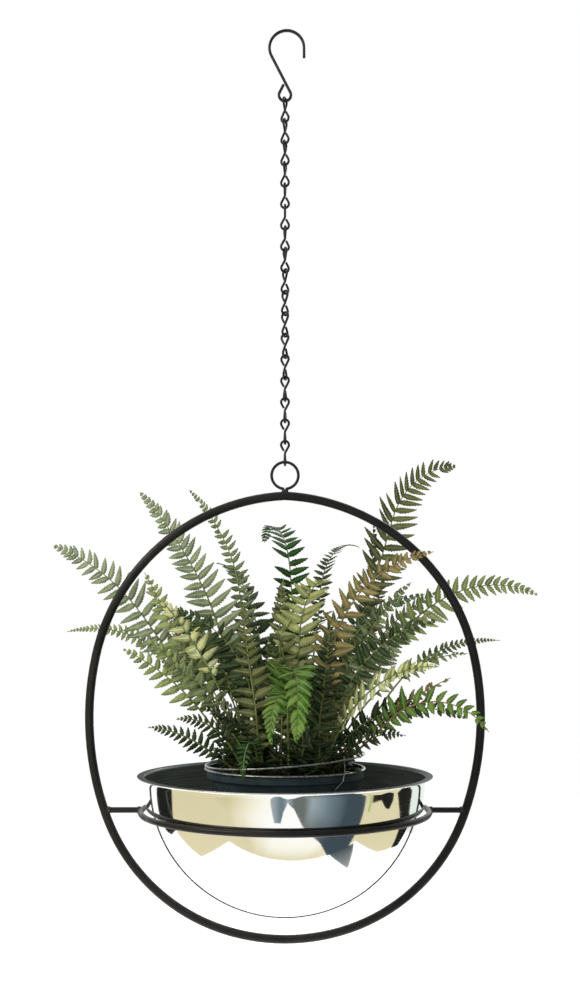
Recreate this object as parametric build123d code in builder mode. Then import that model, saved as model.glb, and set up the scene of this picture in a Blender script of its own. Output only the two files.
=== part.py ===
from build123d import *
import os
from math import asin, atan2, cos, degrees, hypot, pi, radians, sin, sqrt

# Hanging planter: an S hook, a jack chain, a steel hoop that carries a cradle ring, and in the ring a
# spun metal bowl with a potted fern. Millimetres, +Z up, +X to the right, +Y away from the front.
# The origin is the point inside the hook's curve that bears on whatever the planter hangs from.

clearance = 0.3

# hook
hook_wire = 3.2
hook_radius = 19.0
hook_offset = 2.0
hook_tip_length = 11.2
hook_eye_radius = 6.6
hook_eye_level = -69.2
hook_end_rounding = 0.8

# jack chain
link_count = 17
link_wire = 2.65
link_loop_radius = 4.3
link_butt_gap = 2.7
first_link_turn = -25.0
chain_twist = 110.0

# hoop and the eye on its top
hoop_tube = 9.5
hoop_wall = 1.5
hoop_level = -754.0
hoop_half_width = 215.3
hoop_half_height = 243.9
hoop_kink = 2.5
hoop_end_radius = 220.0
hoop_end_angle = 16.0
hoop_side_radius = 320.0
eye_wire = 3.2
eye_radius = 14.7
eye_level = -487.7
eye_tail_spacing = 4.2
eye_weld_size = (7.6, 6.0, 5.0)
eye_weld_rounding = 1.8

# cradle ring and the arms that join it to the hoop
cradle_rod = 6.35
cradle_level = -855.6
cradle_half_width = 157.3
cradle_half_depth = 153.4
cradle_end_radius = 146.0
arm_weld_leg = 1.6

# bowl
bowl_level = -815.9
bowl_radius = 155.0
bowl_thickness = 1.0
bowl_lip_radius = 161.3

# nursery pot, soil and crown
pot_top = -808.0
pot_height = 149.4
pot_rim_radius = 86.0
pot_rim_height = 10.0
pot_rim_step = 3.0
pot_base_radius = 60.0
pot_wall = 1.2
pot_drain_radius = 4.5
pot_drain_circle = 42.0
pot_drain_count = 6
soil_top = -817.0
crown_top = -804.0
crown_radius = 72.0
crown_top_radius = 64.0

# galvanised wire round the pot's rim
rim_wire = 2.2
lower_turn_level = -809.3
upper_turn_level = -799.5
upper_turn_tilt = 4.4
tie_wire = 1.0
tie_route = [(61, -66, -790), (62, -66, -804), (60, -69, -816), (51, -76, -824)]

# fern fronds: base x, base y, heading, launch angle, straight share of the length, droop, length, blade
# width and roll of the blade about its midrib. Heading runs from +X towards +Y. With no roll the
# blade lies across the frond's upright plane, and at 90 degrees it stands in that plane.
fronds = [
    (-38, 6, 173, 54, 0.55, 30, 338, 34, 90),
    (-30, 14, 161, 72, 0.50, 30, 348, 34, 90),
    (-24, 20, 150, 80, 0.60, 39, 339, 16, 90),
    (-40, -8, 190, 60, 0.20, -4, 238, 26, 90),
    (-46, 14, 166, 58, 0.30, 67, 282, 12, 90),
    (-50, -20, 184, 56, 0.40, 33, 181, 22, 90),
    (-56, -26, 190, 38, 0.30, 36, 102, 14, 90),
    (-44, -36, 205, 60, 0.30, 70, 101, 14, 90),
    (30, 14, 22, 70, 0.72, 62, 408, 34, 90),
    (26, -16, -30, 78, 0.40, 69, 291, 26, 90),
    (34, 26, 40, 60, 0.30, -33, 298, 22, 90),
    (44, 8, 10, 60, 0.42, 81, 351, 24, 90),
    (56, 16, 6, 52, 0.40, 53, 246, 10, 90),
    (58, -16, -21, 42, 0.40, 95, 196, 22, 60),
    (40, -34, -48, 60, 0.20, 64, 204, 20, 60),
    (48, -10, -12, 64, 0.05, 93, 178, 18, 90),
    (42, 26, 26, 66, 0.30, 41, 266, 20, 90),
    (12, 18, 110, 86, 0.62, 124, 349, 30, 0),
    (14, -26, -70, 88, 0.60, 95, 235, 30, 0),
    (-4, -30, -110, 88, 0.50, -21, 206, 26, 0),
    (-12, 30, 125, 78, 0.50, 70, 291, 28, 0),
    (-26, -28, -130, 80, 0.50, -8, 178, 24, 30),
    (4, -44, -86, 80, 0.30, 200, 230, 26, 0),
    (22, -46, -115, 78, 0.30, 185, 178, 18, 0),
    (-28, -50, -100, 60, 0.20, 165, 105, 14, 0),
    (20, 34, 55, 80, 0.60, 90, 320, 20, 0),
    (20, -2, -8, 72, 0.40, 58, 243, 22, 60),
]
frond_stalk = 2.6
frond_thickness = 1.4
frond_tip = 1.6
# blade outline: share of the way along the blade, share of its full width
blade_outline = [(0.06, 0.45), (0.28, 1.0), (0.52, 0.85), (0.76, 0.5)]

os.makedirs("parts", exist_ok=True)


def save(part, label):
    """Name a finished piece and write it as its own STEP file."""
    part.label = label
    export_step(part, f"parts/{label}.step")


# ---------------------------------------------------------------------------------------------- hook
# The wire runs from the open tip over the top, down a straight diagonal and round the closed eye.
hook_centre_z = -sqrt((hook_radius - hook_wire / 2) ** 2 - hook_offset**2)
hook_drop = hook_centre_z - hook_eye_level
hook_lean = degrees(asin((hook_radius + hook_eye_radius) / hypot(hook_drop, hook_offset)))
hook_lean -= degrees(atan2(hook_offset, hook_drop))
hook_leg = hook_eye_radius / sin(radians(hook_lean)) * cos(radians(hook_lean)) - hook_wire

with BuildPart() as hook:
    with BuildLine(Plane.XZ) as hook_path:
        tip_top = (hook_offset + hook_radius, hook_centre_z)
        Line((tip_top[0], tip_top[1] - hook_tip_length), tip_top)
        top_arc = CenterArc((hook_offset, hook_centre_z), hook_radius, 0, 180 + hook_lean)
        eye_arc = CenterArc((0, hook_eye_level), hook_eye_radius, hook_lean, -180 - 2 * hook_lean)
        Line(top_arc @ 1, eye_arc @ 0)
        PolarLine(eye_arc @ 1, hook_leg, 90 - hook_lean)
    with BuildSketch(Plane(origin=hook_path.wire() @ 0, z_dir=hook_path.wire() % 0)):
        Circle(hook_wire / 2)
    sweep()
    fillet(hook.faces().filter_by(GeomType.PLANE).edges(), radius=hook_end_rounding)
save(hook.part, "hook")

# --------------------------------------------------------------------------------------------- chain
# Each link is one wire bent into two loops at right angles. Both ends butt against its waist.
hook_bearing = hook_eye_level - hook_eye_radius
chain_top = hook_bearing + (hook_wire + link_wire) / 2 + clearance
chain_bottom = eye_level + eye_radius - (eye_wire + link_wire) / 2 - clearance
link_overlap = link_wire + clearance
link_pitch = (chain_top - chain_bottom - link_overlap) / link_count
loop_reach = (link_pitch + link_overlap) / 2 - link_loop_radius
loop_lean = degrees(asin(link_loop_radius / loop_reach))
loop_leg = sqrt(loop_reach**2 - link_loop_radius**2)
lower_loop_plane = Plane.XZ
upper_loop_plane = Plane(origin=(0, 0, 0), x_dir=(0, 1, 0), z_dir=(-1, 0, 0))

with BuildPart() as link_blank:
    for loop_plane in (lower_loop_plane, upper_loop_plane):
        with BuildLine(loop_plane) as loop_path:
            round_end = CenterArc((0, -loop_reach), link_loop_radius, 180 - loop_lean, 180 + 2 * loop_lean)
            Line((0, 0), round_end @ 0)
            PolarLine(round_end @ 1, loop_leg - link_butt_gap, 90 + loop_lean)
        with BuildSketch(Plane(origin=loop_path.wire() @ 0, z_dir=loop_path.wire() % 0)):
            Circle(link_wire / 2)
        sweep()
    Sphere(link_wire / 2)

for number in range(1, link_count + 1):
    share = (number - 1) / (link_count - 1)
    turn = first_link_turn + chain_twist * share * share * (3 - 2 * share)
    waist = chain_top - (link_pitch + link_overlap) / 2 - (number - 1) * link_pitch
    with BuildPart() as chain_link:
        with Locations(Location((0, 0, waist), (0, 0, turn))):
            add(link_blank.part)
    save(chain_link.part, f"chain_link_{number:02d}")

# ---------------------------------------------------------------------------------------------- hoop
# A slightly square oval of arcs that run into each other: an end arc, a corner arc and a side arc in
# each quarter. The tube's two ends meet on top in a shallow peak.
side_centre = (hoop_half_width - hoop_side_radius, 0)


def quarter_arcs(peak):
    """A quarter's end and corner arc centres, corner radius, and where its side arc starts from upright."""
    end_x = -hoop_end_radius * sin(radians(peak))
    end_z = hoop_half_height - hoop_end_radius * cos(radians(peak))
    out_x = sin(radians(hoop_end_angle))
    out_z = cos(radians(hoop_end_angle))
    run_x = end_x + out_x * hoop_end_radius - side_centre[0]
    run_z = end_z + out_z * hoop_end_radius
    spare = hypot(run_x, run_z) ** 2 - hoop_side_radius**2
    corner_radius = spare / 2 / (run_x * out_x + run_z * out_z - hoop_side_radius)
    corner_x = end_x + out_x * (hoop_end_radius - corner_radius)
    corner_z = end_z + out_z * (hoop_end_radius - corner_radius)
    side_angle = degrees(atan2(corner_x - side_centre[0], corner_z))
    return (end_x, end_z), (corner_x, corner_z), corner_radius, side_angle


hoop_plane = Plane(origin=(0, 0, hoop_level), x_dir=(1, 0, 0), z_dir=(0, -1, 0))
top_end, top_corner, top_radius, top_side_angle = quarter_arcs(hoop_kink)
low_end, low_corner, low_radius, low_side_angle = quarter_arcs(0)
low_end = (low_end[0], -low_end[1])
low_corner = (low_corner[0], -low_corner[1])
side_turn = 180 - top_side_angle - low_side_angle

hoop_solids = []
for radius in (hoop_tube / 2, hoop_tube / 2 - hoop_wall):
    with BuildPart() as hoop_solid:
        with BuildLine(hoop_plane) as hoop_path:
            CenterArc(top_end, hoop_end_radius, 90 - hoop_end_angle, hoop_end_angle + hoop_kink)
            CenterArc(top_corner, top_radius, 90 - top_side_angle, top_side_angle - hoop_end_angle)
            CenterArc(side_centre, hoop_side_radius, low_side_angle - 90, side_turn)
            CenterArc(low_corner, low_radius, hoop_end_angle - 90, low_side_angle - hoop_end_angle)
            CenterArc(low_end, hoop_end_radius, -90, hoop_end_angle)
        with BuildSketch(Plane(origin=hoop_path.wire() @ 0, z_dir=hoop_path.wire() % 0)):
            Circle(radius)
        sweep()
        split(bisect_by=Plane.YZ, keep=Keep.TOP)
        mirror(about=Plane.YZ)
    hoop_solids.append(hoop_solid.part)
hoop_bar, hoop_bore = hoop_solids

with BuildPart() as hoop:
    add(hoop_bar)
    add(hoop_bore, mode=Mode.SUBTRACT)
save(hoop.part, "hoop")

# ----------------------------------------------------------------------------------------------- eye
# One wire bent into a ring, with its two ends turned down side by side and welded to the hoop's peak.
eye_plane = Plane(origin=(0, 0, eye_level), x_dir=(1, 0, 0), z_dir=(0, -1, 0))
eye_gap_angle = degrees(asin(eye_tail_spacing / 2 / eye_radius))
eye_foot = eye_radius * cos(radians(eye_gap_angle))
hoop_peak = hoop_level + hoop_half_height
eye_tail = eye_level - eye_foot - hoop_peak

with BuildPart() as hanging_eye:
    with BuildLine(eye_plane) as eye_path:
        CenterArc((0, 0), eye_radius, eye_gap_angle - 90, 360 - 2 * eye_gap_angle)
    with BuildSketch(Plane(origin=eye_path.wire() @ 0, z_dir=eye_path.wire() % 0)):
        Circle(eye_wire / 2)
    sweep()
    for side in (-1, 1):
        tail_x = side * eye_tail_spacing / 2
        with Locations((tail_x, 0, eye_level - eye_foot)):
            Sphere(eye_wire / 2)
        with Locations((tail_x, 0, hoop_peak + eye_tail / 2)):
            Cylinder(eye_wire / 2, eye_tail)
    add(hoop_bar, mode=Mode.SUBTRACT)
save(hanging_eye.part, "hanging_eye")

with BuildPart() as eye_weld:
    with Locations((0, 0, hoop_peak + hoop_tube / 2)):
        Box(*eye_weld_size)
    fillet(eye_weld.edges(), radius=eye_weld_rounding)
    add(hoop_bar, mode=Mode.SUBTRACT)
    add(hanging_eye.part, mode=Mode.SUBTRACT)
save(eye_weld.part, "eye_weld")

# -------------------------------------------------------------------------------------- cradle ring
# A rod oval that grips the bowl at the front and back and leaves a gap at each side.
cradle_side_radius = cradle_half_depth**2 + (cradle_half_width - cradle_end_radius) ** 2 - cradle_end_radius**2
cradle_side_radius /= 2 * (cradle_half_depth - cradle_end_radius)
cradle_end_centre = cradle_half_width - cradle_end_radius
cradle_side_centre = cradle_side_radius - cradle_half_depth
cradle_join = degrees(atan2(cradle_side_centre, cradle_end_centre))

with BuildPart() as cradle_ring:
    with BuildLine(Plane.XY.offset(cradle_level)) as cradle_path:
        for side in (1, -1):
            end_start = -cradle_join if side > 0 else 180 - cradle_join
            side_start = cradle_join if side > 0 else 180 + cradle_join
            CenterArc((side * cradle_end_centre, 0), cradle_end_radius, end_start, 2 * cradle_join)
            CenterArc((0, -side * cradle_side_centre), cradle_side_radius, side_start, 180 - 2 * cradle_join)
    with BuildSketch(Plane(origin=cradle_path.wire() @ 0, z_dir=cradle_path.wire() % 0)):
        Circle(cradle_rod / 2)
    sweep()
save(cradle_ring.part, "cradle_ring")

# ---------------------------------------------------------------------------------------------- arms
# Each arm is coped to the ring at one end and to the hoop at the other, with a weld round each end.
arm_inner = cradle_half_width
arm_outer = side_centre[0] + sqrt(hoop_side_radius**2 - (cradle_level - hoop_level) ** 2)
arm_ends = (arm_inner + cradle_rod / 2, arm_outer - hoop_tube / 2)

for side, name in ((-1, "left_arm"), (1, "right_arm")):
    with BuildPart() as arm:
        with BuildSketch(Plane.YZ.offset(side * arm_inner)):
            with Locations((0, cradle_level)):
                Circle(cradle_rod / 2)
        extrude(amount=side * (arm_outer - arm_inner))
        add(cradle_ring.part, mode=Mode.SUBTRACT)
        add(hoop_bar, mode=Mode.SUBTRACT)
    save(arm.part, name)

with BuildPart() as arm_welds:
    for side in (-1, 1):
        for end in arm_ends:
            with BuildSketch(Plane.YZ.offset(side * end)):
                with Locations((0, cradle_level)):
                    Circle(cradle_rod / 2 + arm_weld_leg / 2)
                    Circle(cradle_rod / 2, mode=Mode.SUBTRACT)
    extrude(amount=arm_weld_leg, both=True)
    add(cradle_ring.part, mode=Mode.SUBTRACT)
    add(hoop_bar, mode=Mode.SUBTRACT)
save(arm_welds.part, "arm_welds")

# ---------------------------------------------------------------------------------------------- bowl
# Thin spun hemisphere with a flat lip turned outwards at its rim.
bowl_plane = Plane(origin=(0, 0, bowl_level), x_dir=(1, 0, 0), z_dir=(0, -1, 0))
bowl_inner = bowl_radius - bowl_thickness
lip_root = sqrt(bowl_radius**2 - bowl_thickness**2)
lip_angle = degrees(asin(bowl_thickness / bowl_radius))

with BuildPart() as bowl:
    with BuildSketch(bowl_plane):
        with BuildLine():
            CenterArc((0, 0), bowl_inner, -90, 90)
            Polyline(
                (bowl_inner, 0),
                (bowl_lip_radius, 0),
                (bowl_lip_radius, -bowl_thickness),
                (lip_root, -bowl_thickness),
            )
            CenterArc((0, 0), bowl_radius, -90, 90 - lip_angle)
            Line((0, -bowl_inner), (0, -bowl_radius))
        make_face()
    revolve(axis=Axis.Z)
save(bowl.part, "bowl")

# ------------------------------------------------------------------------------- pot, soil and crown
pot_plane = Plane(origin=(0, 0, pot_top), x_dir=(1, 0, 0), z_dir=(0, -1, 0))
pot_body_radius = pot_rim_radius - pot_rim_step
pot_inner_top = pot_body_radius - pot_wall
pot_inner_base = pot_base_radius - pot_wall

with BuildPart() as nursery_pot:
    with BuildSketch(pot_plane):
        with BuildLine():
            Polyline(
                (0, -pot_height),
                (pot_base_radius, -pot_height),
                (pot_body_radius, -pot_rim_height),
                (pot_rim_radius, -pot_rim_height),
                (pot_rim_radius, 0),
                (pot_rim_radius - pot_wall, 0),
                (pot_rim_radius - pot_wall, pot_wall - pot_rim_height),
                (pot_inner_top, pot_wall - pot_rim_height),
                (pot_inner_base, pot_wall - pot_height),
                (0, pot_wall - pot_height),
                close=True,
            )
        make_face()
    revolve(axis=Axis.Z)
    with BuildSketch(Plane.XY.offset(pot_top - pot_height)):
        with PolarLocations(pot_drain_circle, pot_drain_count):
            Circle(pot_drain_radius)
    extrude(amount=pot_wall, mode=Mode.SUBTRACT)
save(nursery_pot.part, "nursery_pot")

soil_depth = soil_top - (pot_top - pot_height + pot_wall)
with BuildPart() as soil:
    with BuildSketch(Plane.XY.offset(soil_top)):
        Circle(pot_inner_top - clearance)
    with BuildSketch(Plane.XY.offset(soil_top - soil_depth)):
        Circle(pot_inner_base - clearance)
    loft()
save(soil.part, "soil")

with BuildPart() as fern_crown:
    with BuildSketch(Plane.XY.offset(soil_top)):
        Circle(crown_radius)
    with BuildSketch(Plane.XY.offset(crown_top)):
        Circle(crown_top_radius)
    loft()
save(fern_crown.part, "fern_crown")

# ---------------------------------------------------------------------------------------- rim wires
# Two turns of wire round the pot's rim, one level and one that climbs towards +X, and a thin tie.
rim_wire_radius = pot_rim_radius + rim_wire / 2 + clearance / 2
with BuildPart() as rim_wire_lower:
    with Locations((0, 0, lower_turn_level)):
        Torus(rim_wire_radius, rim_wire / 2)
save(rim_wire_lower.part, "rim_wire_lower")

with BuildPart() as rim_wire_upper:
    with Locations(Location((0, 0, upper_turn_level), (0, -upper_turn_tilt, 0))):
        Torus(rim_wire_radius, rim_wire / 2)
save(rim_wire_upper.part, "rim_wire_upper")

with BuildPart() as rim_wire_tie:
    with BuildLine() as tie_path:
        FilletPolyline(tie_route, radius=tie_wire * 2)
    with BuildSketch(Plane(origin=tie_path.wire() @ 0, z_dir=tie_path.wire() % 0)):
        Circle(tie_wire / 2)
    sweep()
save(rim_wire_tie.part, "rim_wire_tie")

# -------------------------------------------------------------------------------------------- fronds
# Each frond is a straight stalk that runs into an arc, with a thin lance-shaped blade along the arc.
for number, frond in enumerate(fronds, start=1):
    base_x, base_y, heading, launch, straight, droop, length, width, roll = frond
    toward = radians(heading)
    across = Vector(sin(toward), -cos(toward), 0)
    root = (base_x, base_y, crown_top - frond_stalk)
    frond_plane = Plane(origin=root, x_dir=(cos(toward), sin(toward), 0), z_dir=across)
    stalk = length * straight
    arc_radius = (length - stalk) / abs(radians(droop))
    sections = [(0, frond_stalk, frond_stalk), (straight, frond_stalk, frond_stalk)]
    for along, share in blade_outline:
        sections.append((straight + (1 - straight) * along, width * share, frond_thickness))
    sections.append((1, frond_tip, frond_thickness))
    with BuildPart() as fern_frond:
        with BuildLine(frond_plane) as midrib:
            stem = PolarLine((0, 0), stalk, launch)
            JernArc(stem @ 1, stem % 1, arc_radius, -droop)
        rib = midrib.wire()
        for place, section_width, section_thickness in sections:
            along_rib = rib % place
            blade_side = across * cos(radians(roll)) + along_rib.cross(across) * sin(radians(roll))
            with BuildSketch(Plane(origin=rib @ place, x_dir=blade_side, z_dir=along_rib)):
                Rectangle(section_width, section_thickness)
        loft(ruled=True)
        add(fern_crown.part, mode=Mode.SUBTRACT)
    save(fern_frond.part, f"fern_frond_{number:02d}")
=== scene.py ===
import bpy
import random
from math import cos, pi, radians, sin, sqrt
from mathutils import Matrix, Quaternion, Vector


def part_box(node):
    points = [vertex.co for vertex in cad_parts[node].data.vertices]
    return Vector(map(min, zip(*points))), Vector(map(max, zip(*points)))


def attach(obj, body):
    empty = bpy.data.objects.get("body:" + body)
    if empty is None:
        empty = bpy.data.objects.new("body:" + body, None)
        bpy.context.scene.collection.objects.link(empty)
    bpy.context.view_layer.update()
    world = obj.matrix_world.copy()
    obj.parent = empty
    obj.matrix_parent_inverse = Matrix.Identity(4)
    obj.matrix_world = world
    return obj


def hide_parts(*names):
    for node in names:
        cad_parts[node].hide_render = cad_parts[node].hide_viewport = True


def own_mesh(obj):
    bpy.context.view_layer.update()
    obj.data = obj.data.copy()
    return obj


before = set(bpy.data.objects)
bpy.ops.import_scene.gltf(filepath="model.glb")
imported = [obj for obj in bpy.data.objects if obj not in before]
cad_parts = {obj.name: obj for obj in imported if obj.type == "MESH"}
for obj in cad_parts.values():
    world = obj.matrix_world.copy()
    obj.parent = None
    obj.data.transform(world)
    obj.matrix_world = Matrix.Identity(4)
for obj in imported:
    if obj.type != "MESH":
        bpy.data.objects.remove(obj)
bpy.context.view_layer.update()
MM = 0.001
UP = Vector((0, 0, 1))


# ------------------------------------------------------------------------------------------- helpers
def linear(*channels):
    """A colour written as screen values from 0 to 255, as Blender's scene values."""
    out = []
    for c in channels:
        c /= 255
        out.append(c / 12.92 if c <= 0.04045 else ((c + 0.055) / 1.055) ** 2.4)
    return (*out, 1.0)


class Look:
    """A node material that is built up call by call."""

    def __init__(self, name, color=(0.5, 0.5, 0.5, 1), **sockets):
        self.mat = bpy.data.materials.new(name)
        self.mat.use_nodes = True
        self.tree = self.mat.node_tree
        self.shader = self.tree.nodes["Principled BSDF"]
        self.shader.inputs["Base Color"].default_value = color
        for key, value in sockets.items():
            self.shader.inputs[key.replace("_", " ")].default_value = value
        self.coords = self.node("ShaderNodeTexCoord").outputs["Object"]

    def node(self, kind, **settings):
        n = self.tree.nodes.new(kind)
        for key, value in settings.items():
            setattr(n, key, value)
        return n

    def link(self, a, b):
        self.tree.links.new(a, b)

    def noise(self, scale, detail=3.0, rough=0.5, distortion=0.0, stretch=None):
        n = self.node("ShaderNodeTexNoise")
        n.inputs["Scale"].default_value = scale
        n.inputs["Detail"].default_value = detail
        n.inputs["Roughness"].default_value = rough
        n.inputs["Distortion"].default_value = distortion
        source = self.coords
        if stretch:
            m = self.node("ShaderNodeMapping")
            m.inputs["Scale"].default_value = stretch
            self.link(self.coords, m.inputs["Vector"])
            source = m.outputs["Vector"]
        self.link(source, n.inputs["Vector"])
        return n.outputs["Fac"]

    def ramp(self, fac, *stops):
        n = self.node("ShaderNodeValToRGB")
        band = n.color_ramp.elements
        while len(band) < len(stops):
            band.new(0.5)
        for element, (place, color) in zip(band, stops):
            element.position = place
            element.color = color if len(color) == 4 else (*color, 1)
        self.link(fac, n.inputs["Fac"])
        return n.outputs["Color"]

    def span(self, fac, low, high, start=0.0, end=1.0):
        n = self.node("ShaderNodeMapRange")
        n.inputs["From Min"].default_value = start
        n.inputs["From Max"].default_value = end
        n.inputs["To Min"].default_value = low
        n.inputs["To Max"].default_value = high
        self.link(fac, n.inputs["Value"])
        return n.outputs["Result"]

    def mix(self, fac, a, b, mode="MIX"):
        n = self.node("ShaderNodeMix", data_type="RGBA", blend_type=mode)
        for value, socket in ((fac, n.inputs[0]), (a, n.inputs[6]), (b, n.inputs[7])):
            if isinstance(value, bpy.types.NodeSocket):
                self.link(value, socket)
            else:
                socket.default_value = value
        return n.outputs[2]

    def bump(self, height, strength, distance):
        n = self.node("ShaderNodeBump")
        n.inputs["Strength"].default_value = strength
        n.inputs["Distance"].default_value = distance
        self.link(height, n.inputs["Height"])
        self.link(n.outputs["Normal"], self.shader.inputs["Normal"])

    def feed(self, socket, value):
        self.link(value, self.shader.inputs[socket])

    def attribute(self, name):
        n = self.node("ShaderNodeAttribute", attribute_name=name)
        s = self.node("ShaderNodeSeparateColor")
        self.link(n.outputs["Color"], s.inputs["Color"])
        return s.outputs


def paint(node, look):
    """Gives a CAD node its material."""
    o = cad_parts[node]
    o.data.materials.clear()
    o.data.materials.append(look.mat)


def color_points(mesh, name, colors):
    """Stores a colour of four channels on each point of a mesh."""
    layer = mesh.attributes.new(name, "FLOAT_COLOR", "POINT")
    layer.data.foreach_set("color", [channel for color in colors for channel in color])


def build(name, verts, faces, looks, body, replaces=(), indices=None, tints=None):
    """A new piece from lists of points and faces, on a body."""
    mesh = bpy.data.meshes.new(name)
    mesh.from_pydata([tuple(v) for v in verts], [], faces)
    mesh.update()
    for look in looks:
        mesh.materials.append(look.mat)
    if indices:
        mesh.polygons.foreach_set("material_index", indices)
    mesh.polygons.foreach_set("use_smooth", [True] * len(mesh.polygons))
    if tints:
        color_points(mesh, "tint", [(*t, 1.0) for t in tints])
    o = bpy.data.objects.new(name, mesh)
    bpy.context.scene.collection.objects.link(o)
    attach(o, body)
    if replaces:
        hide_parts(*replaces)
    return o


def thicken(o, thickness):
    """Gives a leaf mesh its thickness, with the underside in its third look."""
    shell = o.modifiers.new("thickness", "SOLIDIFY")
    shell.thickness = thickness
    shell.offset = 0
    shell.use_rim = True
    shell.material_offset = 2
    shell.material_offset_rim = 0


def tube(verts, faces, path, radii, sides):
    """Adds a round tube with closed ends along a path to lists of points and faces."""
    start = len(verts)
    side = None
    for k, p in enumerate(path):
        ahead = path[min(k + 1, len(path) - 1)] - path[max(k - 1, 0)]
        ahead.normalize()
        if side is None:
            side = ahead.orthogonal().normalized()
        side = (side - ahead * side.dot(ahead)).normalized()
        other = ahead.cross(side)
        for j in range(sides):
            a = 2 * pi * j / sides
            verts.append(p + (side * cos(a) + other * sin(a)) * radii[k])
    for k in range(len(path) - 1):
        for j in range(sides):
            a = start + k * sides + j
            b = start + k * sides + (j + 1) % sides
            faces.append((a, b, b + sides, a + sides))
    faces.append(tuple(start + j for j in range(sides))[::-1])
    faces.append(tuple(start + (len(path) - 1) * sides + j for j in range(sides)))


# ----------------------------------------------------------------------------------------- materials
frame_paint = Look("frame_paint", Roughness=0.42, Specular_IOR_Level=0.26)
blotch = frame_paint.noise(22, 5, 0.6)
frame_paint.feed("Base Color", frame_paint.ramp(
    blotch, (0.3, linear(16, 16, 17)), (0.72, linear(34, 32, 31))))
frame_paint.feed("Roughness", frame_paint.span(frame_paint.noise(60, 4), 0.26, 0.46, 0.3, 0.7))
frame_paint.bump(frame_paint.noise(1400, 2), 0.25, 0.00015)

chain_paint = Look("chain_paint", Roughness=0.4, Specular_IOR_Level=0.3)
blotch = chain_paint.noise(90, 5, 0.6)
chain_paint.feed("Base Color", chain_paint.ramp(
    blotch, (0.3, linear(16, 16, 19)), (0.75, linear(40, 39, 41))))
chain_paint.feed("Roughness", chain_paint.span(chain_paint.noise(200, 3), 0.28, 0.5, 0.3, 0.7))
chain_paint.bump(chain_paint.noise(1800, 2), 0.2, 0.0001)

weld_paint = Look("weld_paint", Roughness=0.5, Specular_IOR_Level=0.3)
blotch = weld_paint.noise(300, 4, 0.6)
weld_paint.feed("Base Color", weld_paint.ramp(
    blotch, (0.3, linear(24, 24, 25)), (0.7, linear(58, 56, 55))))
weld_paint.bump(weld_paint.noise(500, 3), 0.7, 0.0006)

polish = Look("polish", Metallic=1.0, Roughness=0.04)
smear = polish.noise(9, 4, 0.55, 0.6)
polish.feed("Base Color", polish.ramp(smear, (0.3, (0.93, 0.935, 0.93)), (0.7, (1.0, 1.0, 0.995))))
polish.feed("Roughness", polish.span(polish.noise(26, 5, 0.65), 0.04, 0.11, 0.35, 0.75))
polish.bump(polish.noise(1, 2, 0.5, 0, (6, 6, 900)), 0.05, 0.0001)

# painted reflection: the inside is dark and dull to stand for the dark fern that it reflects
inner = Look("bowl_inner", Metallic=0.15, Roughness=0.4, Specular_IOR_Level=0.12)
brushed = inner.noise(1, 3, 0.5, 0, (14, 14, 700))
inner.feed("Base Color", inner.ramp(brushed, (0.3, linear(62, 68, 64)), (0.7, linear(98, 104, 100))))
inner.feed("Roughness", inner.span(inner.noise(30, 4), 0.24, 0.42, 0.3, 0.7))
inner.bump(brushed, 0.12, 0.0001)

# painted reflection: the lip's top is dark like the inside, for the fern that it reflects
lip_top_look = Look("lip_top", Roughness=0.5, Specular_IOR_Level=0.08)
turned = lip_top_look.noise(1, 3, 0.5, 0, (14, 14, 700))
lip_top_look.feed("Base Color", lip_top_look.ramp(
    turned, (0.3, linear(26, 29, 27)), (0.7, linear(38, 41, 39))))

lip_edge = Look("lip_edge", linear(205, 208, 206), Metallic=1.0, Roughness=0.22)
lip_edge.feed("Roughness", lip_edge.span(lip_edge.noise(80, 3), 0.16, 0.34, 0.3, 0.7))

plastic = Look("pot_plastic", Roughness=0.48)
scuff = plastic.noise(40, 6, 0.65, 0.4)
plastic.feed("Base Color", plastic.ramp(scuff, (0.3, linear(24, 36, 41)), (0.75, linear(52, 68, 74))))
plastic.feed("Roughness", plastic.span(plastic.noise(120, 4), 0.35, 0.6, 0.3, 0.7))
plastic.bump(plastic.noise(1, 2, 0.5, 0, (220, 220, 30)), 0.12, 0.0004)

zinc = Look("zinc", Metallic=0.95, Roughness=0.36)
dull = zinc.noise(260, 5, 0.6)
zinc.feed("Base Color", zinc.ramp(dull, (0.3, linear(120, 124, 126)), (0.7, linear(206, 210, 208))))
zinc.feed("Roughness", zinc.span(dull, 0.24, 0.5, 0.3, 0.7))
zinc.bump(zinc.noise(900, 3), 0.25, 0.0002)

peat = Look("peat", Roughness=0.95)
crumbs = peat.noise(420, 5, 0.7)
peat.feed("Base Color", peat.ramp(
    crumbs, (0.3, linear(20, 15, 11)), (0.62, linear(58, 44, 32)), (0.8, linear(96, 78, 58))))
peat.bump(peat.noise(700, 5, 0.7), 0.9, 0.002)

PALETTES = {
    # name: (deep, mid, pale) of a leaf's upper side; the underside is the same with more of the pale
    "sage": ((96, 112, 84), (128, 142, 106), (168, 176, 140)),
    "grey": ((76, 92, 56), (104, 120, 76), (142, 154, 106)),
    # dark is painted shade: a shaded copy of the leaf colours, for fronds deep in the plant
    "dark": ((28, 44, 24), (48, 68, 36), (80, 98, 56)),
    # lit is painted light: a lit copy of the leaf colours, for blades with the light behind them
    "lit": ((150, 158, 96), (186, 192, 130), (220, 222, 172)),
    "light": ((98, 116, 66), (130, 146, 88), (168, 178, 118)),
    "olive": ((64, 72, 38), (92, 100, 56), (130, 134, 82)),
    "tan": ((92, 84, 46), (128, 118, 68), (166, 152, 98)),
    "fresh": ((58, 92, 28), (88, 128, 46), (128, 160, 76)),
    "blue": ((48, 70, 46), (74, 98, 62), (112, 132, 90)),
    "deep": ((18, 52, 18), (34, 76, 28), (62, 104, 44)),
    "cream": ((128, 138, 84), (160, 168, 108), (196, 198, 142)),
    "brown": ((60, 38, 22), (96, 62, 36), (136, 92, 56)),
}
LEAF_GLOW = 0.32    # share of the light that shines through a leaf
leaf_looks = {}
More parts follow.
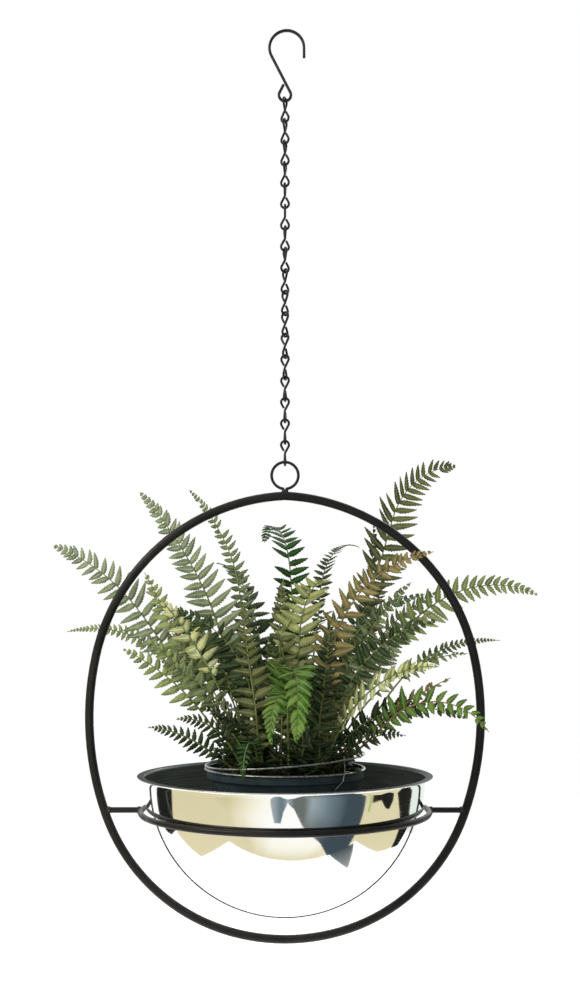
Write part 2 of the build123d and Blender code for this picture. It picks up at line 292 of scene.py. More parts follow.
for shade, (deep, mid, pale) in PALETTES.items():
    for face in ("top", "under"):
        look = Look(f"fern_{shade}_{face}", Roughness=0.5 if face == "top" else 0.65,
                    Specular_IOR_Level=0.35)
        # A point's tint is red 0 on the midrib and 1 at the edge, and green for how light the pinna is.
        tint = look.attribute("tint")
        body_color = look.ramp(look.noise(70, 4, 0.6),
                               (0.32, linear(*deep)), (0.5, linear(*mid)), (0.7, linear(*pale)))
        if face == "under":
            body_color = look.mix(0.45, body_color, linear(*pale))
        uneven = look.ramp(tint["Green"],
                           (0.0, (0.62, 0.64, 0.6)), (0.5, (1, 1, 1)), (1.0, (1.3, 1.26, 1.05)))
        body_color = look.mix(1.0, body_color, uneven, "MULTIPLY")
        vein = look.ramp(tint["Red"],
                         (0.0, (1, 1, 1)), (0.12, (0.55, 0.55, 0.55)), (0.3, (0, 0, 0)))
        body_color = look.mix(vein, body_color, linear(*[min(255, c + 14) for c in pale]))
        look.feed("Base Color", body_color)
        look.bump(look.noise(900, 3, 0.6), 0.35, 0.0004)
        glow = look.node("ShaderNodeBsdfTranslucent")
        look.link(look.mix(1.0, body_color, (1.0, 1.05, 0.62, 1), "MULTIPLY"), glow.inputs["Color"])
        blend = look.node("ShaderNodeMixShader")
        blend.inputs[0].default_value = LEAF_GLOW
        out = look.tree.nodes["Material Output"]
        look.link(look.shader.outputs[0], blend.inputs[1])
        look.link(glow.outputs[0], blend.inputs[2])
        look.link(blend.outputs[0], out.inputs["Surface"])
        leaf_looks[shade, face] = look

stalk_looks = {}
for shade, (low, high) in {
    "green": ((72, 88, 38), (132, 140, 78)),
    "tan": ((96, 74, 42), (158, 132, 84)),
    "dark": ((34, 30, 20), (74, 66, 42)),
}.items():
    look = Look(f"stalk_{shade}", Roughness=0.45)
    look.feed("Base Color", look.ramp(look.noise(60, 4, 0.6), (0.3, linear(*low)), (0.7, linear(*high))))
    look.bump(look.noise(1, 3, 0.6, 0, (900, 900, 60)), 0.3, 0.0004)
    stalk_looks[shade] = look

# ---------------------------------------------------------------------------------- metal and plastic
for part in ("hoop", "cradle_ring", "left_arm", "right_arm"):
    paint(part, frame_paint)
for part in ("eye_weld", "arm_welds"):
    paint(part, weld_paint)
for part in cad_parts:
    if part.startswith("chain_link") or part in ("hook", "hanging_eye"):
        paint(part, chain_paint)
for part in ("rim_wire_lower", "rim_wire_upper", "rim_wire_tie"):
    paint(part, zinc)
paint("nursery_pot", plastic)

# ---------------------------------------------------------------------------------------------- bowl
bowl_lo, bowl_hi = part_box("bowl")
lip_top = bowl_hi.z
bowl_r = lip_top - bowl_lo.z
lip_r = bowl_hi.x
wall = 1.0 * MM
inner_r = bowl_r - wall
AROUND = 256
DOWN = 72
TURN_STEPS = 5
AXIS_R = 1e-5       # keeps the points on the axis apart
OUTSIDE, INSIDE, EDGE, TOP = range(4)
bowl_looks = (polish, inner, lip_edge, lip_top_look)
# The profile runs up the inside, over the lip and down the outside, and kinds says each band's look.
profile = []
kinds = []
for k in range(DOWN + 1):
    a = pi / 2 * (1 - k / DOWN)
    profile.append((inner_r * cos(a), lip_top - inner_r * sin(a)))
    kinds.append(INSIDE)
turn_r = 1.6 * MM
for k in range(1, TURN_STEPS + 1):
    a = radians(90) * k / TURN_STEPS
    profile.append((inner_r + turn_r * (1 - cos(a)), lip_top - turn_r * (1 - sin(a)) * 0.5))
    kinds.append(TOP)
profile += [(lip_r - 0.6 * MM, lip_top), (lip_r - 0.2 * MM, lip_top - 0.1 * MM)]
kinds += [TOP, EDGE]
profile += [(lip_r, lip_top - wall * 0.5), (lip_r - 0.5 * MM, lip_top - wall * 0.95)]
kinds += [EDGE, OUTSIDE]
profile += [(lip_r - 2 * MM, lip_top - wall), (bowl_r + 1.2 * MM, lip_top - wall * 1.1)]
kinds += [OUTSIDE, OUTSIDE]
for k in range(DOWN + 1):
    a = pi / 2 * k / DOWN
    if bowl_r * sin(a) < wall * 1.6:
        continue
    profile.append((bowl_r * cos(a), lip_top - bowl_r * sin(a)))
    kinds.append(OUTSIDE)
verts, faces, indices = [], [], []
for r, z in profile:
    for j in range(AROUND):
        a = 2 * pi * j / AROUND
        verts.append((max(r, AXIS_R) * cos(a), max(r, AXIS_R) * sin(a), z))
for k in range(len(profile) - 1):
    for j in range(AROUND):
        a = k * AROUND + j
        b = k * AROUND + (j + 1) % AROUND
        faces.append((a, b, b + AROUND, a + AROUND))
        indices.append(kinds[k])
build("bowl_shell", verts, faces, bowl_looks, "bowl", ("bowl",), indices)

# ---------------------------------------------------------------------------------------------- soil
rng = random.Random(4)
soil_lo, soil_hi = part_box("soil")
RINGS, SPOKES = 40, 120
LUMP = 2.6 * MM
verts, faces = [], []
for k in range(RINGS + 1):
    r = soil_hi.x * k / RINGS
    for j in range(SPOKES):
        a = 2 * pi * j / SPOKES
        lump = (rng.random() - 0.6) * LUMP * (1 if k < RINGS else 0.2)
        verts.append((max(r, AXIS_R) * cos(a), max(r, AXIS_R) * sin(a), soil_hi.z + lump))
below = ((soil_hi.x * 0.98, soil_hi.z - 8 * MM), (soil_hi.x * 0.72, soil_lo.z + 1 * MM), (AXIS_R, soil_lo.z))
for r, z in below:
    for j in range(SPOKES):
        a = 2 * pi * j / SPOKES
        verts.append((r * cos(a), r * sin(a), z))
for k in range(RINGS + len(below)):
    for j in range(SPOKES):
        a = k * SPOKES + j
        b = k * SPOKES + (j + 1) % SPOKES
        faces.append((a, a + SPOKES, b + SPOKES, b))
build("soil_surface", verts, faces, (peat,), "potted_fern", ("soil",))


# ---------------------------------------------------------------------------------------------- fern
class Frond:
    """One frond: a curved midrib with pairs of toothed pinnae, in lists of points and faces."""

    def __init__(self, seed):
        self.rng = random.Random(seed)
        self.verts, self.faces, self.indices, self.tints = [], [], [], []

    def jitter(self, amount):
        return self.rng.uniform(-amount, amount)

    def add(self, points, faces, tints):
        start = len(self.verts)
        self.verts += points
        self.tints += tints
        for f in faces:
            self.faces.append(tuple(start + i for i in f))
            self.indices.append(0)

    def stalk(self, path, radii, sides=6):
        old_verts, old_faces = len(self.verts), len(self.faces)
        tube(self.verts, self.faces, path, radii, sides)
        self.tints += [(1, 0.5, 0)] * (len(self.verts) - old_verts)
        self.indices += [1] * (len(self.faces) - old_faces)

    def outline(self, u):
        """Half width of a pinna along its length, from 0 at its foot to 1 at its tip."""
        return min(1.0, 0.62 + 1.6 * u) * max(0.0, 1 - u ** 1.9) ** 0.8

    def pinna(self, root, out, ahead, length, width, sag, bend, twist, tone, teeth):
        """A pinna: a curved midrib with two rows of teeth that lean towards its tip."""
        step = length / teeth
        d = out.normalized()
        points = [root.copy()]
        ways = []
        for k in range(teeth):
            ways.append(d.copy())
            points.append(points[-1] + d * step)
            d = (d + ahead * bend / teeth - UP * sag / teeth).normalized()
        face = out.cross(ahead)
        if face.length < 1e-6:
            face = UP.copy()
        face.normalize()
        verts, faces = list(points), []
        tints = [(0.0, tone, 0)] * len(points)
        for side in (1, -1):
            first = len(verts)
            for k in range(teeth):
                w = ways[k]
                n = (face - w * face.dot(w)).normalized()
                n = Quaternion(w, twist) @ n
                b = n.cross(w) * side
                valley = width / 2 * self.outline(k / teeth)
                tooth = width / 2 * self.outline((k + 0.6) / teeth) * (1 + self.jitter(0.08))
                verts.append(points[k] + b * (valley * 0.8) - n * (valley * 0.12))
                verts.append(points[k] + w * (step * 0.78) + b * tooth - n * (tooth * 0.2))
                tints += [(1, tone, 0)] * 2
            for k in range(teeth):
                v = first + 2 * k
                panes = [(k, v, v + 1, k + 1)]
                if k < teeth - 1:
                    panes.append((k + 1, v + 1, v + 2))
                if side < 0:
                    panes = [f[::-1] for f in panes]
                faces += panes
        self.add(verts, faces, tints)


crown_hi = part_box("fern_crown")[1]
LEAF_THICKNESS = 0.28 * MM
WAVE = 2.0          # mm that a midrib sways to each side
CUP = 12            # degrees that the pinnae rise from the blade's plane
WIDEST = 0.26       # place along the blade where it is widest


def midrib(frond):
    """The midrib's point, direction and blade side at a distance along it, as part.py lays it out."""
    base_x, base_y, heading, launch, straight, droop, length, roll = frond
    toward = Vector((cos(radians(heading)), sin(radians(heading)), 0))
    across = Vector((sin(radians(heading)), -cos(radians(heading)), 0))
    root = Vector((base_x, base_y, crown_hi.z / MM - 2.6))
    stalk = length * straight
    curve = (length - stalk) / radians(droop)

    def at(s):
        s = max(s, -6)
        a = radians(launch)
        p = root + (toward * cos(a) + UP * sin(a)) * min(s, stalk)
        if s > stalk:
            b = a - (s - stalk) / curve
            p = p + toward * (curve * (sin(a) - sin(b))) + UP * (curve * (cos(b) - cos(a)))
            a = b
        way = toward * cos(a) + UP * sin(a)
        side = across * cos(radians(roll)) + way.cross(across) * sin(radians(roll))
        return p, way, side

    return at


def grow(name, frond, spec, seed, nodes=()):
    """Builds a whole frond, over its CAD node if it has one. Lengths are in mm until a point is made."""
    length = frond[6]
    at = midrib(frond)
    f = Frond(seed)
    full = spec["width"]
    start = spec["start"] * length
    blade = length - start
    path, radii = [], []
    steps = max(14, int(length / 9))
    phase = f.rng.uniform(0, 6)

    def sway(s):
        p, way, side = at(s)
        fade = min(1.0, max(0.0, s / 60))
        return p + side * (WAVE * fade * sin(s / 38 + phase)), way, side

    for k in range(steps + 1):
        s = length * k / steps
        path.append(sway(s)[0] * MM)
        radii.append(((1.25 - 0.95 * k / steps) * spec.get("stem", 1.0)) * MM)
    path.insert(0, sway(0)[0] * MM - UP * 8 * MM)
    radii.insert(0, radii[0])
    f.stalk(path, radii)

    sag = spec.get("sag", 0.25)
    gap = spec.get("gap", 12.5)
    s = start
    while s < length - 1.5:
        t = (s - start) / blade
        swell = (0.5 + 1.9 * t) if t < WIDEST else ((1 - t) / (1 - WIDEST)) ** spec.get("taper", 0.85)
        swell = min(1.0, swell)
        p, way, side = sway(s)
        normal = side.cross(way)
        for hand in (1, -1):
            if f.rng.random() < spec.get("missing", 0.04):
                continue
            slope = radians(spec.get("slope", 76) - 30 * t * t + f.jitter(spec.get("stray", 6)))
            lift = radians(CUP) + radians(f.jitter(10))
            out = side * hand * sin(slope) * cos(lift) + way * cos(slope) + normal * sin(slope) * sin(lift)
            pinna_length = full / 2 / max(0.5, sin(slope)) * swell * (1 + f.jitter(0.08))
            if pinna_length < 1.0:
                continue
            pinna_width = gap * 0.84 * (0.44 + 0.56 * swell) * spec.get("fat", 1.0)
            teeth = max(3, min(10, round(pinna_length / 3.2)))
            offset = way * (gap * 0.22 * hand * (1 - t))
            tone = min(1.0, max(0.0, 0.5 + f.jitter(0.32) + spec.get("tone", 0)))
            f.pinna((p + offset) * MM, out, way, pinna_length * MM, pinna_width * MM,
                    sag + f.jitter(0.15), 0.3 + f.jitter(0.15),
                    radians(f.jitter(spec.get("twist", 14))), tone, teeth)
        s += gap * (0.40 + 0.60 * swell) * (1 + f.jitter(0.08))
    shade = spec["shade"]
    looks = (leaf_looks[shade, "top"], stalk_looks[spec.get("stalk", "green")], leaf_looks[shade, "under"])
    o = build(name, f.verts, f.faces, looks, "potted_fern", nodes, f.indices, f.tints)
    thicken(o, LEAF_THICKNESS)
    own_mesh(o)


# The midribs are the CAD fronds' own: base x and y in mm, heading and launch in degrees, straight share,
# droop in degrees, length in mm, and roll in degrees.
FRONDS = [
    (-38, 6, 173, 54, 0.55, 30, 338, 90),
    (-30, 14, 161, 72, 0.50, 30, 348, 90),
    (-24, 20, 150, 80, 0.60, 39, 339, 90),
    (-40, -8, 190, 60, 0.20, -4, 238, 90),
    (-46, 14, 166, 58, 0.30, 67, 282, 90),
    (-50, -20, 184, 56, 0.40, 33, 181, 90),
    (-56, -26, 190, 38, 0.30, 36, 102, 90),
    (-44, -36, 205, 60, 0.30, 70, 101, 90),
    (30, 14, 22, 70, 0.72, 62, 408, 90),
    (26, -16, -30, 78, 0.40, 69, 291, 90),
    (34, 26, 40, 60, 0.30, -33, 298, 90),
    (44, 8, 10, 60, 0.42, 81, 351, 90),
    (56, 16, 6, 52, 0.40, 53, 246, 90),
    (58, -16, -21, 42, 0.40, 95, 196, 60),
    (40, -34, -48, 60, 0.20, 64, 204, 60),
    (48, -10, -12, 64, 0.05, 93, 178, 90),
    (42, 26, 26, 66, 0.30, 41, 266, 90),
    (12, 18, 110, 86, 0.62, 124, 349, 0),
    (14, -26, -70, 88, 0.60, 95, 235, 0),
    (-4, -30, -110, 88, 0.50, -21, 206, 0),
    (-12, 30, 125, 78, 0.50, 70, 291, 0),
    (-26, -28, -130, 80, 0.50, -8, 178, 30),
    (4, -44, -86, 80, 0.30, 200, 230, 0),
    (22, -46, -115, 78, 0.30, 185, 178, 0),
    (-28, -50, -100, 60, 0.20, 165, 105, 0),
    (20, 34, 55, 80, 0.60, 90, 320, 0),
    (20, -2, -8, 72, 0.40, 58, 243, 60),
]
# How each is dressed: blade width in mm, leaf palette, share of bare stalk, and what differs from grow. The
# dark palette is painted shade and the lit palette is painted light.
SPECS = [
    dict(width=64, shade="sage", start=0.4, sag=0.15, taper=0.7),
    dict(width=66, shade="sage", start=0.26, sag=0.1, taper=0.75, fat=1.15),
    dict(width=38, shade="grey", start=0.25, gap=10, sag=0.1, taper=0.7),
    dict(width=54, shade="light", start=0.42, stalk="tan", stray=12, tone=0.15),
    dict(width=24, shade="light", start=0.5, gap=8),
    dict(width=46, shade="light", start=0.42, tone=0.1),
    dict(width=30, shade="dark", start=0.2, gap=8),
    dict(width=30, shade="dark", start=0.2, gap=8),
    dict(width=72, shade="olive", start=0.45, sag=0.1, taper=0.7),
    dict(width=58, shade="tan", start=0.25, stalk="tan", stray=12),
    dict(width=42, shade="dark", start=0.5, sag=0.1),
    dict(width=50, shade="light", start=0.4, taper=0.75),
    dict(width=20, shade="blue", start=0.5, gap=7),
    dict(width=48, shade="fresh", start=0.3, stalk="tan", tone=0.05),
    dict(width=44, shade="lit", start=0.25, stray=14),
    dict(width=40, shade="dark", start=0.2, stray=16, twist=34),
    dict(width=46, shade="grey", start=0.25),
    dict(width=56, shade="deep", start=0.25, taper=0.6),
    # the cream palette is this blade's own colour; its raised tone is painted light where it faces the camera
    dict(width=68, shade="cream", start=0.2, taper=0.5, tone=0.25, fat=1.25, stray=9),
    dict(width=56, shade="olive", start=0.15, stray=14, tone=0.1, fat=1.2, twist=24),
    dict(width=54, shade="dark", start=0.25, stray=16, twist=30, fat=1.1),
    dict(width=52, shade="olive", start=0.15, stray=12, fat=1.15, twist=24, tone=0.05),
    dict(width=58, shade="fresh", start=0.25, tone=0.1, slope=60, fat=1.2),
    dict(width=42, shade="fresh", start=0.25, gap=10, slope=60, fat=1.2),
    dict(width=30, shade="deep", start=0.2, gap=8),
    dict(width=30, shade="dark", start=0.5, gap=8),
    dict(width=46, shade="blue", start=0.2, stray=18, twist=34),
]
for k, (frond, spec) in enumerate(zip(FRONDS, SPECS), start=1):
    grow(f"frond_{k:02d}", frond, spec, 100 + k, (f"fern_frond_{k:02d}",))

# Younger and hidden fronds that fill the middle of the plant: fans to the sides, a cluster that stands
# up in front and behind, and low dark undergrowth over the pot's rim. The cluster's darker palettes and the
# undergrowth's dark palettes, dark stalks and lowered tone are painted shade in the plant's lower middle.
SIDE_FANS, UPRIGHTS, UNDERGROWTH = 16, 14, 26
fan = random.Random(21)
fillers = []
for k in range(SIDE_FANS):
    lean = -1 if k % 2 else 1
    steep = fan.uniform(56, 84)
    frond = (lean * fan.uniform(8, 44), fan.uniform(-30, 34), (0 if lean > 0 else 180) + fan.uniform(-32, 32),
             steep, 0.35, fan.uniform(10, 75), fan.uniform(150, 235), 90 + fan.uniform(-28, 28))
    spec = dict(width=fan.uniform(38, 52),
                shade=fan.choice(("olive", "light", "grey", "dark", "sage", "grey")),
                tone=fan.uniform(-0.3, 0.25),
                start=fan.uniform(0.34, 0.52) if lean < 0 else fan.uniform(0.2, 0.4),
                stem=0.8, stray=18, twist=30, missing=0.1, sag=fan.uniform(0.2, 0.6))
    fillers.append((frond, spec))
for k in range(UPRIGHTS):
    near = k % 2 == 0
    heading = (-90 if near else 90) + fan.uniform(-60, 60)
    frond = (fan.uniform(-44, 48), fan.uniform(-46, -10) if near else fan.uniform(0, 40), heading,
             fan.uniform(70, 87), 0.4, fan.uniform(-10, 90),
             fan.uniform(110, 165) if near else fan.uniform(150, 240), fan.uniform(-30, 30))
    # painted shade: darker palettes and a lowered tone, most of all for the near uprights
    spec = dict(width=fan.uniform(38, 54),
                shade=fan.choice(("dark", "olive", "deep", "dark") if near else ("olive", "grey", "dark")),
                tone=fan.uniform(-0.2, 0.1), start=fan.uniform(0.1, 0.25),
                stem=0.8, stray=18, twist=30, missing=0.1, sag=fan.uniform(0.2, 0.6))
    fillers.append((frond, spec))
for k in range(UNDERGROWTH):
    heading = 360 * k / UNDERGROWTH + fan.uniform(-10, 10)
    r = fan.uniform(20, 62)
    frond = (r * cos(radians(heading)), r * sin(radians(heading)), heading + fan.uniform(-30, 30),
             fan.uniform(42, 82), 0.3, fan.uniform(20, 80), fan.uniform(62, 118),
             fan.choice((0, 90, 45)) + fan.uniform(-20, 20))
    # painted shade: dark palettes, a dark stalk and a lowered tone for the undergrowth under the plant
    spec = dict(width=fan.uniform(22, 36), shade=fan.choice(("dark", "deep", "dark", "dark")), gap=8,
                tone=-0.3, stray=20, twist=40, missing=0.12, start=0.12, stem=0.7, stalk="dark")
    fillers.append((frond, spec))
fillers += [
    # two backlit blades at the left, brightened with painted light, curled brown ones at the right and dry
    # twiggy bits low down
    ((-30, -20, 188, 64, 0.3, 10, 208, 90),
     dict(width=46, shade="lit", start=0.55, stray=16, tone=0.2, sag=0.1)),
    ((-34, -26, 183, 58, 0.3, 20, 180, 90),
     dict(width=44, shade="light", start=0.45, stray=14, tone=0.15)),
    ((40, 10, 30, 62, 0.3, -20, 236, 90),
     dict(width=26, shade="brown", gap=8, start=0.66, stray=30, twist=60)),
    ((48, -12, 0, 50, 0.3, 34, 130, 90),
     dict(width=26, shade="brown", gap=7, start=0.5, stray=35, twist=60, missing=0.35, stalk="tan")),
    ((52, -20, -8, 46, 0.3, 24, 160, 60),
     dict(width=20, shade="tan", gap=7, start=0.6, stray=30, missing=0.4, stalk="tan")),
    ((46, 0, 8, 58, 0.3, 60, 214, 90),
     dict(width=30, shade="light", gap=8, start=0.45, stray=25, twist=40, missing=0.25, sag=0.6)),
]
for k, (frond, spec) in enumerate(fillers, start=1):
    grow(f"filler_{k:02d}", frond, spec, 300 + k)

# The crown: a low mound of stubs and small leaves where the fronds start, in dark colours as painted shade
# under the fronds.
TUFT_STUBS, STUB_STEPS = 90, 5
tuft = Frond(77)
for k in range(TUFT_STUBS):
    a = tuft.rng.uniform(0, 2 * pi)
    r = crown_hi.x / MM * sqrt(tuft.rng.random()) * 0.94
    root = Vector((r * cos(a), r * sin(a), soil_hi.z / MM - 2))
    lean = Vector((cos(a), sin(a), 0)) * tuft.rng.uniform(0.1, 0.9) + UP
    lean.normalize()
    tall = tuft.rng.uniform(16, 44)
    path = [root * MM]
    way = lean.copy()
    for step in range(STUB_STEPS):
        path.append(path[-1] + way * tall / STUB_STEPS * MM)
        way = (way + Vector((tuft.jitter(0.3), tuft.jitter(0.3), -0.12))).normalized()
    tuft.stalk(path, [(1.3 - 0.16 * i) * MM for i in range(STUB_STEPS + 1)], 5)
    for step in range(2, STUB_STEPS + 1):
        for hand in (1, -1):
            side = way.cross(UP).normalized() * hand
            out = side + way * 0.6 + Vector((tuft.jitter(0.4), tuft.jitter(0.4), tuft.jitter(0.4)))
            tuft.pinna(path[step].copy(), out, way, tuft.rng.uniform(9, 20) * MM, 7 * MM, 0.4, 0.3,
                       radians(tuft.jitter(30)), 0.2 + tuft.jitter(0.2), 4)
o = build("crown_tuft", tuft.verts, tuft.faces,
          (leaf_looks["dark", "top"], stalk_looks["dark"], leaf_looks["dark", "under"]),
          "potted_fern", ("fern_crown",), tuft.indices, tuft.tints)
thicken(o, 0.3 * MM)

# ------------------------------------------------------------------------------------ floor and light
def glow_look(name, strength):
    """A card's look: it glows in the colour that its points carry."""
    mat = bpy.data.materials.new(name)
    mat.use_nodes = True
    t = mat.node_tree
    t.nodes.clear()
    shade = t.nodes.new("ShaderNodeAttribute")
    shade.attribute_name = "shade"
    e = t.nodes.new("ShaderNodeEmission")
    e.inputs["Strength"].default_value = strength
    t.links.new(shade.outputs["Color"], e.inputs["Color"])
    out = t.nodes.new("ShaderNodeOutputMaterial")
    t.links.new(e.outputs[0], out.inputs["Surface"])
    return mat


def stage_mesh(name, verts, faces, mat, glossy_only=False):
    mesh = bpy.data.meshes.new(name)
    mesh.from_pydata(verts, [], faces)
    mesh.materials.append(mat)
    o = bpy.data.objects.new(name, mesh)
    bpy.context.scene.collection.objects.link(o)
    if glossy_only:
        o.visible_camera = False
        o.visible_diffuse = False
        o.visible_shadow = False
        o.visible_transmission = False
        o.visible_volume_scatter = False
    return o


FLOOR = -1.5
pale_floor = Look("pale_floor", Roughness=0.9, Emission_Color=(1, 1, 1, 1), Emission_Strength=0.5)
pale_floor.feed("Base Color", pale_floor.ramp(
    pale_floor.noise(3, 3), (0.3, linear(249, 249, 248)), (0.7, linear(253, 253, 252))))
stage_mesh("floor", [(-8, -4, FLOOR), (8, -4, FLOOR), (8, 9, FLOOR), (-8, 9, FLOOR)], [(0, 1, 2, 3)],
           pale_floor.mat)

# Reflector cards round the bowl, seen only in reflections. Each stands on the line from one floor
# point to the next. A card is a row of columns, from near to far along its line, and a column lists
# heights above the floor, each with a colour.
SHADES = {
    "cream": (219, 210, 172), "dim": (196, 186, 146), "pale": (236, 230, 204), "ivory": (249, 246, 234),
    "white": (253, 253, 251), "dark": (30, 31, 29), "slate": (106, 122, 130), "haze": (152, 164, 170),
    "steel": (62, 74, 82), "dusk": (104, 110, 106), "mist": (226, 234, 228), "lime": (172, 186, 112),
    "stone": (150, 156, 152), "seam": (96, 92, 82),
}
card_look = glow_look("card", 1.06)
near_left, near_right = Vector((-0.62, -0.52, FLOOR)), Vector((0.76, -0.38, FLOOR))
FRONT = (near_left, near_right)
LEFT = (near_left, Vector((-0.80, 0.90, FLOOR)))
RIGHT = (near_right, Vector((0.86, 1.60, FLOOR)))
HIGH = 2.0          # height of a card that fills the view
LAYER = 0.004       # step from one layer of cards to the next


def card(name, line, columns, nearer=0):
    """A card on a line, some layers nearer to the bowl. A column is (distance, (height, shade), ...)."""
    way = (line[1] - line[0]).normalized()
    inward = Vector((-way.y, way.x, 0))
    if inward.dot(-line[0]) < 0:
        inward = -inward
    rows = len(columns[0]) - 1
    points, colors, faces = [], [], []
    for place, *heights in columns:
        for height, shade in heights:
            points.append(line[0] + way * place + UP * height + inward * (LAYER / 2 + nearer * LAYER))
            colors.append(linear(*SHADES[shade]))
    for c in range(len(columns) - 1):
        for r in range(rows - 1):
            k = c * rows + r
            faces.append((k, k + rows, k + rows + 1, k + 1))
    o = stage_mesh("card_" + name, points, faces, card_look, True)
    color_points(o.data, "shade", colors)


card("front", FRONT, [
    (0.00, (0, "cream"), (0.24, "cream"), (0.46, "cream"), (0.62, "dim"), (HIGH, "dim")),
    (0.20, (0, "cream"), (0.24, "cream"), (0.46, "cream"), (0.62, "dim"), (HIGH, "dim")),
    (0.34, (0, "cream"), (0.24, "cream"), (0.46, "pale"), (0.62, "cream"), (HIGH, "dim")),
    (0.44, (0, "cream"), (0.24, "pale"), (0.46, "ivory"), (0.62, "pale"), (HIGH, "cream")),
    (0.54, (0, "cream"), (0.24, "ivory"), (0.46, "white"), (0.62, "ivory"), (HIGH, "pale")),
    (0.80, (0, "cream"), (0.24, "ivory"), (0.46, "white"), (0.62, "white"), (HIGH, "white")),
    (1.00, (0, "pale"), (0.24, "pale"), (0.46, "white"), (0.62, "white"), (HIGH, "white")),
])
card("block", FRONT, [
    (0.550, (0.58, "haze"), (HIGH, "haze")),
    (0.565, (0.47, "haze"), (HIGH, "slate")),
    (0.600, (0.47, "slate"), (HIGH, "slate")),
    (0.615, (0.54, "slate"), (HIGH, "haze")),
    (0.640, (0.60, "haze"), (HIGH, "mist")),
], 1)
card("dusk", FRONT, [
    (0.64, (0.59, "haze"), (0.64, "haze"), (HIGH, "haze")),
    (0.67, (0.56, "dusk"), (0.62, "dusk"), (HIGH, "dusk")),
    (0.72, (0.45, "dusk"), (0.60, "dusk"), (HIGH, "dusk")),
    (0.76, (0.40, "dusk"), (0.58, "haze"), (HIGH, "haze")),
    (0.86, (0.27, "steel"), (0.50, "slate"), (HIGH, "haze")),
    (1.00, (0.00, "steel"), (0.42, "steel"), (HIGH, "slate")),
    (1.22, (0.00, "steel"), (0.40, "steel"), (HIGH, "steel")),
    (1.27, (0.00, "steel"), (0.20, "steel"), (HIGH, "dusk")),
], 2)
card("corner", FRONT, [
    (1.22, (0.55, "cream"), (HIGH, "cream")),
    (1.27, (0, "cream"), (HIGH, "cream")),
    (1.387, (0, "cream"), (HIGH, "cream")),
], 1)
card("left", LEFT, [
    (0.00, (0, "cream"), (0.3, "cream"), (HIGH, "dim")),
    (0.50, (0, "cream"), (0.3, "cream"), (HIGH, "dim")),
    (0.55, (0, "cream"), (0.3, "cream"), (HIGH, "dim")),
    (0.645, (0.28, "cream"), (0.3, "cream"), (HIGH, "dim")),
])
card("left_dark", LEFT, [
    (0.50, (0.62, "dark"), (HIGH, "dark")),
    (0.54, (0.50, "dark"), (HIGH, "dark")),
    (0.61, (0.38, "dark"), (HIGH, "dark")),
    (0.645, (0.31, "dark"), (HIGH, "dark")),
    (0.79, (0.27, "dark"), (0.62, "dark")),
    (0.90, (0.29, "dark"), (0.42, "dark")),
], 1)
card("left_seam", LEFT, [(0.60, (0.42, "seam"), (HIGH, "seam")), (0.615, (0.42, "seam"), (HIGH, "seam"))], 2)
card("right", RIGHT, [
    (0.00, (0, "cream"), (HIGH, "cream")),
    (0.47, (0, "cream"), (HIGH, "cream")),
    (0.72, (0.09, "cream"), (HIGH, "cream")),
])
card("right_lime", RIGHT, [(0, (0.38, "lime"), (HIGH, "lime")), (0.035, (0.38, "lime"), (HIGH, "lime"))], 1)
card("right_shape", RIGHT, [
    (0.045, (0.47, "dark"), (HIGH, "dark")),
    (0.16, (0.50, "dark"), (HIGH, "dark")),
    (0.24, (0.44, "dark"), (HIGH, "dark")),
    (0.30, (0.43, "dark"), (HIGH, "dark")),
    (0.33, (0.50, "dark"), (HIGH, "dark")),
], 1)
card("right_dark", RIGHT, [
    (0.37, (0.57, "dark"), (HIGH, "dark")),
    (0.44, (0.465, "dark"), (HIGH, "dark")),
    (0.62, (0.28, "dark"), (HIGH, "dark")),
    (0.69, (0.17, "dark"), (0.47, "dark")),
    (0.73, (0.09, "dark"), (0.41, "dark")),
    (0.89, (0.12, "dark"), (0.27, "dark")),
], 2)
card("right_mist", RIGHT, [
    (0.60, (0.50, "mist"), (HIGH, "mist")),
    (0.92, (0.24, "mist"), (HIGH, "mist")),
    (1.98, (0.10, "white"), (HIGH, "mist")),
])
# a painted shadow on the floor: a dark wedge, seen only in reflections, that lies just above the floor
corners = [(0.39, -0.45), (0.72, -0.36), (0.458, -0.094)]
floor_shadow = stage_mesh("card_floor_shadow", [(x, y, FLOOR + 0.003) for x, y in corners], [(0, 1, 2)], card_look, True)
color_points(floor_shadow.data, "shade", [linear(*SHADES[shade]) for shade in ("steel", "steel", "stone")])

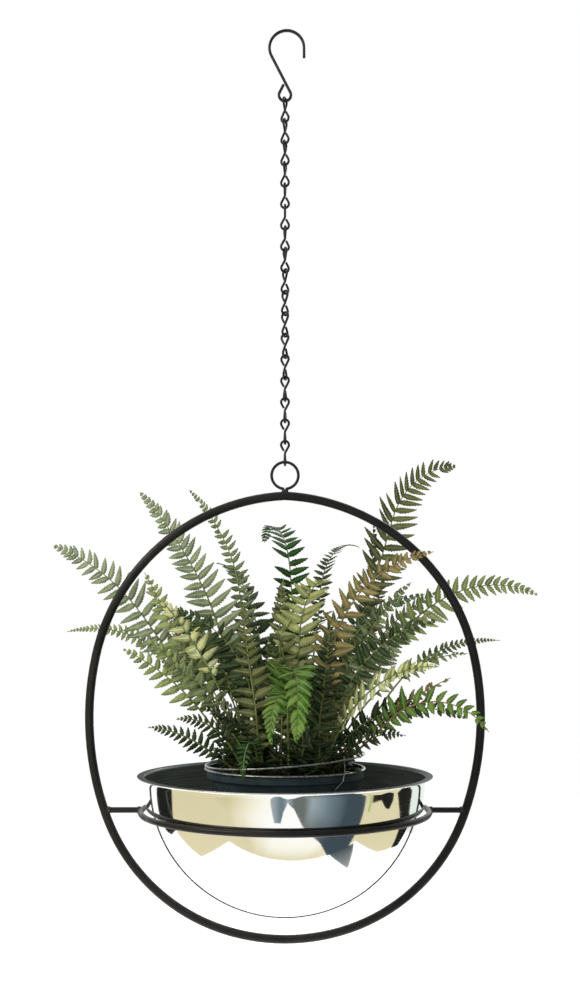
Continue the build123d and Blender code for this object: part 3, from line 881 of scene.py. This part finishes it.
# A white world, at full strength for the camera and for reflections and weaker as diffuse light.
BACKDROP, FILL = 1.0, 0.5
world = bpy.data.worlds.new("studio")
bpy.context.scene.world = world
world.use_nodes = True
wt = world.node_tree
wt.nodes.clear()
w_out = wt.nodes.new("ShaderNodeOutputWorld")
w_bg = wt.nodes.new("ShaderNodeBackground")
w_path = wt.nodes.new("ShaderNodeLightPath")
w_span = wt.nodes.new("ShaderNodeMapRange")
w_span.inputs["To Min"].default_value = BACKDROP
w_span.inputs["To Max"].default_value = FILL
w_bg.inputs["Color"].default_value = (1, 1, 1, 1)
wt.links.new(w_path.outputs["Is Diffuse Ray"], w_span.inputs["Value"])
wt.links.new(w_span.outputs["Result"], w_bg.inputs["Strength"])
wt.links.new(w_bg.outputs[0], w_out.inputs["Surface"])


def lamp(name, place, aim, size, power, glossy=True):
    data = bpy.data.lights.new(name, "AREA")
    data.shape = "RECTANGLE"
    data.size, data.size_y = size
    data.energy = power
    o = bpy.data.objects.new(name, data)
    o.location = place
    o.rotation_mode = "QUATERNION"
    o.rotation_quaternion = (Vector(aim) - Vector(place)).to_track_quat("-Z", "Y")
    bpy.context.scene.collection.objects.link(o)
    o.visible_camera = False
    o.visible_glossy = glossy


LAMP_AIM = (0, 0, -0.7)
lamp("key", (-1.6, -0.9, 0.7), LAMP_AIM, (0.6, 0.6), 20)
lamp("back", (0.9, 1.6, 0.7), LAMP_AIM, (1.2, 1.2), 26)
lamp("front", (-0.5, -2.2, 0.1), LAMP_AIM, (1.0, 1.0), 14, glossy=False)

# -------------------------------------------------------------------------------------------- camera
cam_data = bpy.data.cameras.new("camera")
cam_data.lens = 36
cam_data.sensor_width = 36
cam_data.shift_x, cam_data.shift_y = 0.005, 0.1585     # the photograph's framing
cam = bpy.data.objects.new("camera", cam_data)
CAMERA_BACK, CAMERA_Z = 1.1, -0.689
cam.location = (0, -CAMERA_BACK, CAMERA_Z)
cam.rotation_euler = (radians(90), 0, 0)
bpy.context.scene.collection.objects.link(cam)
bpy.context.scene.camera = cam
bpy.context.scene.view_settings.view_transform = "Standard"
